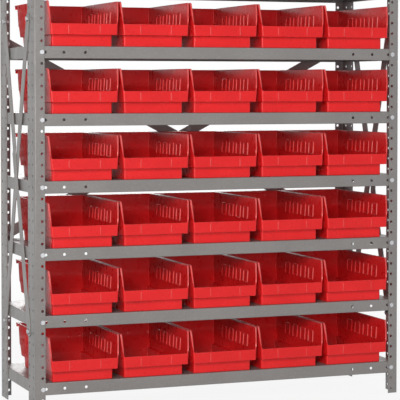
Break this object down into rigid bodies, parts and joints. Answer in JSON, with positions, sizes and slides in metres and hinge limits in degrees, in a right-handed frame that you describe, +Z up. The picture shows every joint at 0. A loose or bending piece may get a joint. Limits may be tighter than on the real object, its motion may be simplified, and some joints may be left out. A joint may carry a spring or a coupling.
{
  "type": "shelving unit with shelf bins",
  "caption": "Open bolted steel shelving unit with perforated angle posts, bent sheet shelves and cross straps, holding rows of open-fronted red plastic shelf bins that pull out.",
  "frame": {"origin": "bottom centre of the whole unit, on the floor", "axes": "+Z up, the open front faces -Y, +X to the right seen from the front"},
  "size_m": [0.9264, 0.3236, 0.9919],
  "materials": {
    "grey_steel": "satin grey enamel",
    "zinc_steel": "bright zinc plate",
    "red_plastic": "satin moulded red"
  },
  "bodies": {
    "frame": {"post_front_left": "grey_steel", "post_front_right": "grey_steel", "post_rear_left": "grey_steel", "post_rear_right": "grey_steel", "shelf_1": "grey_steel", "shelf_2": "grey_steel", "shelf_3": "grey_steel", "shelf_4": "grey_steel", "shelf_5": "grey_steel", "shelf_6": "grey_steel", "shelf_7": "grey_steel", "rear_brace_a": "grey_steel", "rear_brace_b": "grey_steel", "left_brace_a": "grey_steel", "left_brace_b": "grey_steel", "right_brace_a": "grey_steel", "right_brace_b": "grey_steel", "shelf_bolts": "zinc_steel", "shelf_nuts": "zinc_steel", "brace_bolts": "zinc_steel", "brace_nuts": "zinc_steel"},
    "bin_row1_col1": {"bin_row1_col1": "red_plastic"},
    "bin_row1_col2": {"bin_row1_col2": "red_plastic"},
    "bin_row1_col3": {"bin_row1_col3": "red_plastic"},
    "bin_row1_col4": {"bin_row1_col4": "red_plastic"},
    "bin_row1_col5": {"bin_row1_col5": "red_plastic"},
    "bin_row2_col1": {"bin_row2_col1": "red_plastic"},
    "bin_row2_col2": {"bin_row2_col2": "red_plastic"},
    "bin_row2_col3": {"bin_row2_col3": "red_plastic"},
    "bin_row2_col4": {"bin_row2_col4": "red_plastic"},
    "bin_row2_col5": {"bin_row2_col5": "red_plastic"},
    "bin_row3_col1": {"bin_row3_col1": "red_plastic"},
    "bin_row3_col2": {"bin_row3_col2": "red_plastic"},
    "bin_row3_col3": {"bin_row3_col3": "red_plastic"},
    "bin_row3_col4": {"bin_row3_col4": "red_plastic"},
    "bin_row3_col5": {"bin_row3_col5": "red_plastic"},
    "bin_row4_col1": {"bin_row4_col1": "red_plastic"},
    "bin_row4_col2": {"bin_row4_col2": "red_plastic"},
    "bin_row4_col3": {"bin_row4_col3": "red_plastic"},
    "bin_row4_col4": {"bin_row4_col4": "red_plastic"},
    "bin_row4_col5": {"bin_row4_col5": "red_plastic"},
    "bin_row5_col1": {"bin_row5_col1": "red_plastic"},
    "bin_row5_col2": {"bin_row5_col2": "red_plastic"},
    "bin_row5_col3": {"bin_row5_col3": "red_plastic"},
    "bin_row5_col4": {"bin_row5_col4": "red_plastic"},
    "bin_row5_col5": {"bin_row5_col5": "red_plastic"},
    "bin_row6_col1": {"bin_row6_col1": "red_plastic"},
    "bin_row6_col2": {"bin_row6_col2": "red_plastic"},
    "bin_row6_col3": {"bin_row6_col3": "red_plastic"},
    "bin_row6_col4": {"bin_row6_col4": "red_plastic"},
    "bin_row6_col5": {"bin_row6_col5": "red_plastic"}
  },
  "joints": [
    {"name": "pull_row1_col1", "type": "slide", "parent": "frame", "child": "bin_row1_col1", "axis": [0, -1, 0], "range_m": [0, 0.3]},
    {"name": "pull_row1_col2", "type": "slide", "parent": "frame", "child": "bin_row1_col2", "axis": [0, -1, 0], "range_m": [0, 0.3]},
    {"name": "pull_row1_col3", "type": "slide", "parent": "frame", "child": "bin_row1_col3", "axis": [0, -1, 0], "range_m": [0, 0.3]},
    {"name": "pull_row1_col4", "type": "slide", "parent": "frame", "child": "bin_row1_col4", "axis": [0, -1, 0], "range_m": [0, 0.3]},
    {"name": "pull_row1_col5", "type": "slide", "parent": "frame", "child": "bin_row1_col5", "axis": [0, -1, 0], "range_m": [0, 0.3]},
    {"name": "pull_row2_col1", "type": "slide", "parent": "frame", "child": "bin_row2_col1", "axis": [0, -1, 0], "range_m": [0, 0.3]},
    {"name": "pull_row2_col2", "type": "slide", "parent": "frame", "child": "bin_row2_col2", "axis": [0, -1, 0], "range_m": [0, 0.3]},
    {"name": "pull_row2_col3", "type": "slide", "parent": "frame", "child": "bin_row2_col3", "axis": [0, -1, 0], "range_m": [0, 0.3]},
    {"name": "pull_row2_col4", "type": "slide", "parent": "frame", "child": "bin_row2_col4", "axis": [0, -1, 0], "range_m": [0, 0.3]},
    {"name": "pull_row2_col5", "type": "slide", "parent": "frame", "child": "bin_row2_col5", "axis": [0, -1, 0], "range_m": [0, 0.3]},
    {"name": "pull_row3_col1", "type": "slide", "parent": "frame", "child": "bin_row3_col1", "axis": [0, -1, 0], "range_m": [0, 0.3]},
    {"name": "pull_row3_col2", "type": "slide", "parent": "frame", "child": "bin_row3_col2", "axis": [0, -1, 0], "range_m": [0, 0.3]},
    {"name": "pull_row3_col3", "type": "slide", "parent": "frame", "child": "bin_row3_col3", "axis": [0, -1, 0], "range_m": [0, 0.3]},
    {"name": "pull_row3_col4", "type": "slide", "parent": "frame", "child": "bin_row3_col4", "axis": [0, -1, 0], "range_m": [0, 0.3]},
    {"name": "pull_row3_col5", "type": "slide", "parent": "frame", "child": "bin_row3_col5", "axis": [0, -1, 0], "range_m": [0, 0.3]},
    {"name": "pull_row4_col1", "type": "slide", "parent": "frame", "child": "bin_row4_col1", "axis": [0, -1, 0], "range_m": [0, 0.3]},
    {"name": "pull_row4_col2", "type": "slide", "parent": "frame", "child": "bin_row4_col2", "axis": [0, -1, 0], "range_m": [0, 0.3]},
    {"name": "pull_row4_col3", "type": "slide", "parent": "frame", "child": "bin_row4_col3", "axis": [0, -1, 0], "range_m": [0, 0.3]},
    {"name": "pull_row4_col4", "type": "slide", "parent": "frame", "child": "bin_row4_col4", "axis": [0, -1, 0], "range_m": [0, 0.3]},
    {"name": "pull_row4_col5", "type": "slide", "parent": "frame", "child": "bin_row4_col5", "axis": [0, -1, 0], "range_m": [0, 0.3]},
    {"name": "pull_row5_col1", "type": "slide", "parent": "frame", "child": "bin_row5_col1", "axis": [0, -1, 0], "range_m": [0, 0.3]},
    {"name": "pull_row5_col2", "type": "slide", "parent": "frame", "child": "bin_row5_col2", "axis": [0, -1, 0], "range_m": [0, 0.3]},
    {"name": "pull_row5_col3", "type": "slide", "parent": "frame", "child": "bin_row5_col3", "axis": [0, -1, 0], "range_m": [0, 0.3]},
    {"name": "pull_row5_col4", "type": "slide", "parent": "frame", "child": "bin_row5_col4", "axis": [0, -1, 0], "range_m": [0, 0.3]},
    {"name": "pull_row5_col5", "type": "slide", "parent": "frame", "child": "bin_row5_col5", "axis": [0, -1, 0], "range_m": [0, 0.3]},
    {"name": "pull_row6_col1", "type": "slide", "parent": "frame", "child": "bin_row6_col1", "axis": [0, -1, 0], "range_m": [0, 0.3]},
    {"name": "pull_row6_col2", "type": "slide", "parent": "frame", "child": "bin_row6_col2", "axis": [0, -1, 0], "range_m": [0, 0.3]},
    {"name": "pull_row6_col3", "type": "slide", "parent": "frame", "child": "bin_row6_col3", "axis": [0, -1, 0], "range_m": [0, 0.3]},
    {"name": "pull_row6_col4", "type": "slide", "parent": "frame", "child": "bin_row6_col4", "axis": [0, -1, 0], "range_m": [0, 0.3]},
    {"name": "pull_row6_col5", "type": "slide", "parent": "frame", "child": "bin_row6_col5", "axis": [0, -1, 0], "range_m": [0, 0.3]}
  ]
}
